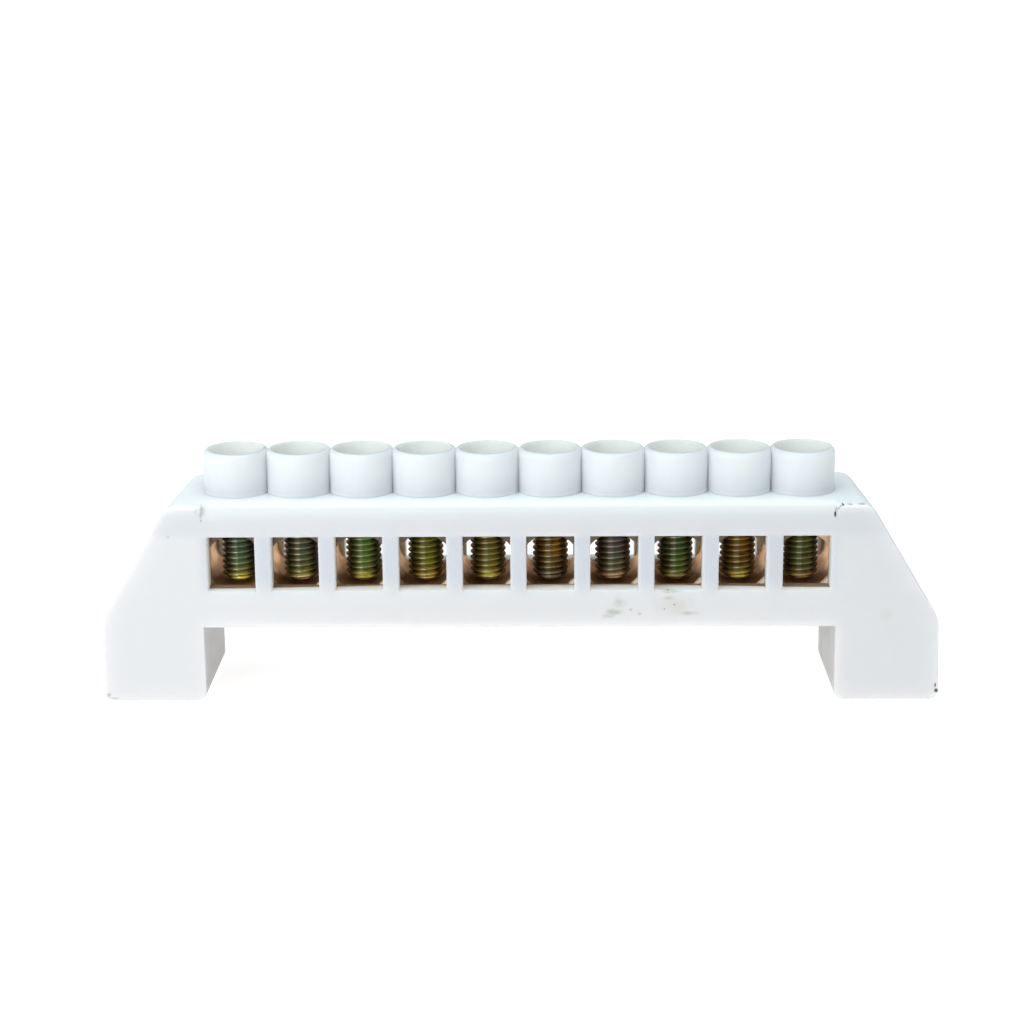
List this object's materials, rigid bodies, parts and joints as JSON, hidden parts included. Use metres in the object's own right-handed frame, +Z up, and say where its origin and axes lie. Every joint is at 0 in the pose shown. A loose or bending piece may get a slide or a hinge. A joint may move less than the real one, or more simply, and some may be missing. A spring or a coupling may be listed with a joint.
{
  "type": "earth terminal bar",
  "caption": "Brass terminal bar in a white moulded bridge housing on two feet, with square wire windows and a collared clamp screw over each.",
  "frame": {"origin": "middle of the footprint, at the ground under the two feet", "axes": "+X along the bar, +Y from the front to the back, +Z up through the clamp screws"},
  "size_m": [0.1124, 0.0164, 0.0331],
  "materials": {
    "moulded_plastic": "satin moulded polyamide, off-white",
    "brass": "drilled and sawn brass, slightly dulled",
    "passivated_zinc": "yellow passivated zinc on steel, iridescent green, olive and brown"
  },
  "bodies": {
    "bar": {"housing": "moulded_plastic", "brass_bar": "brass"},
    "clamp_screw_1": {"clamp_screw_1": "passivated_zinc"},
    "clamp_screw_2": {"clamp_screw_2": "passivated_zinc"},
    "clamp_screw_3": {"clamp_screw_3": "passivated_zinc"},
    "clamp_screw_4": {"clamp_screw_4": "passivated_zinc"},
    "clamp_screw_5": {"clamp_screw_5": "passivated_zinc"},
    "clamp_screw_6": {"clamp_screw_6": "passivated_zinc"},
    "clamp_screw_7": {"clamp_screw_7": "passivated_zinc"},
    "clamp_screw_8": {"clamp_screw_8": "passivated_zinc"},
    "clamp_screw_9": {"clamp_screw_9": "passivated_zinc"},
    "clamp_screw_10": {"clamp_screw_10": "passivated_zinc"}
  },
  "joints": [
    {"name": "clamp_screw_1_travel", "type": "slide", "parent": "bar", "child": "clamp_screw_1", "axis": [0, 0, 1], "range_m": [-0.0001, 0.0065]},
    {"name": "clamp_screw_2_travel", "type": "slide", "parent": "bar", "child": "clamp_screw_2", "axis": [0, 0, 1], "range_m": [-0.0001, 0.0065]},
    {"name": "clamp_screw_3_travel", "type": "slide", "parent": "bar", "child": "clamp_screw_3", "axis": [0, 0, 1], "range_m": [-0.0001, 0.0065]},
    {"name": "clamp_screw_4_travel", "type": "slide", "parent": "bar", "child": "clamp_screw_4", "axis": [0, 0, 1], "range_m": [-0.0001, 0.0065]},
    {"name": "clamp_screw_5_travel", "type": "slide", "parent": "bar", "child": "clamp_screw_5", "axis": [0, 0, 1], "range_m": [-0.0001, 0.0065]},
    {"name": "clamp_screw_6_travel", "type": "slide", "parent": "bar", "child": "clamp_screw_6", "axis": [0, 0, 1], "range_m": [-0.0001, 0.0065]},
    {"name": "clamp_screw_7_travel", "type": "slide", "parent": "bar", "child": "clamp_screw_7", "axis": [0, 0, 1], "range_m": [-0.0001, 0.0065]},
    {"name": "clamp_screw_8_travel", "type": "slide", "parent": "bar", "child": "clamp_screw_8", "axis": [0, 0, 1], "range_m": [-0.0001, 0.0065]},
    {"name": "clamp_screw_9_travel", "type": "slide", "parent": "bar", "child": "clamp_screw_9", "axis": [0, 0, 1], "range_m": [-0.0001, 0.0065]},
    {"name": "clamp_screw_10_travel", "type": "slide", "parent": "bar", "child": "clamp_screw_10", "axis": [0, 0, 1], "range_m": [-0.0001, 0.0065]}
  ]
}
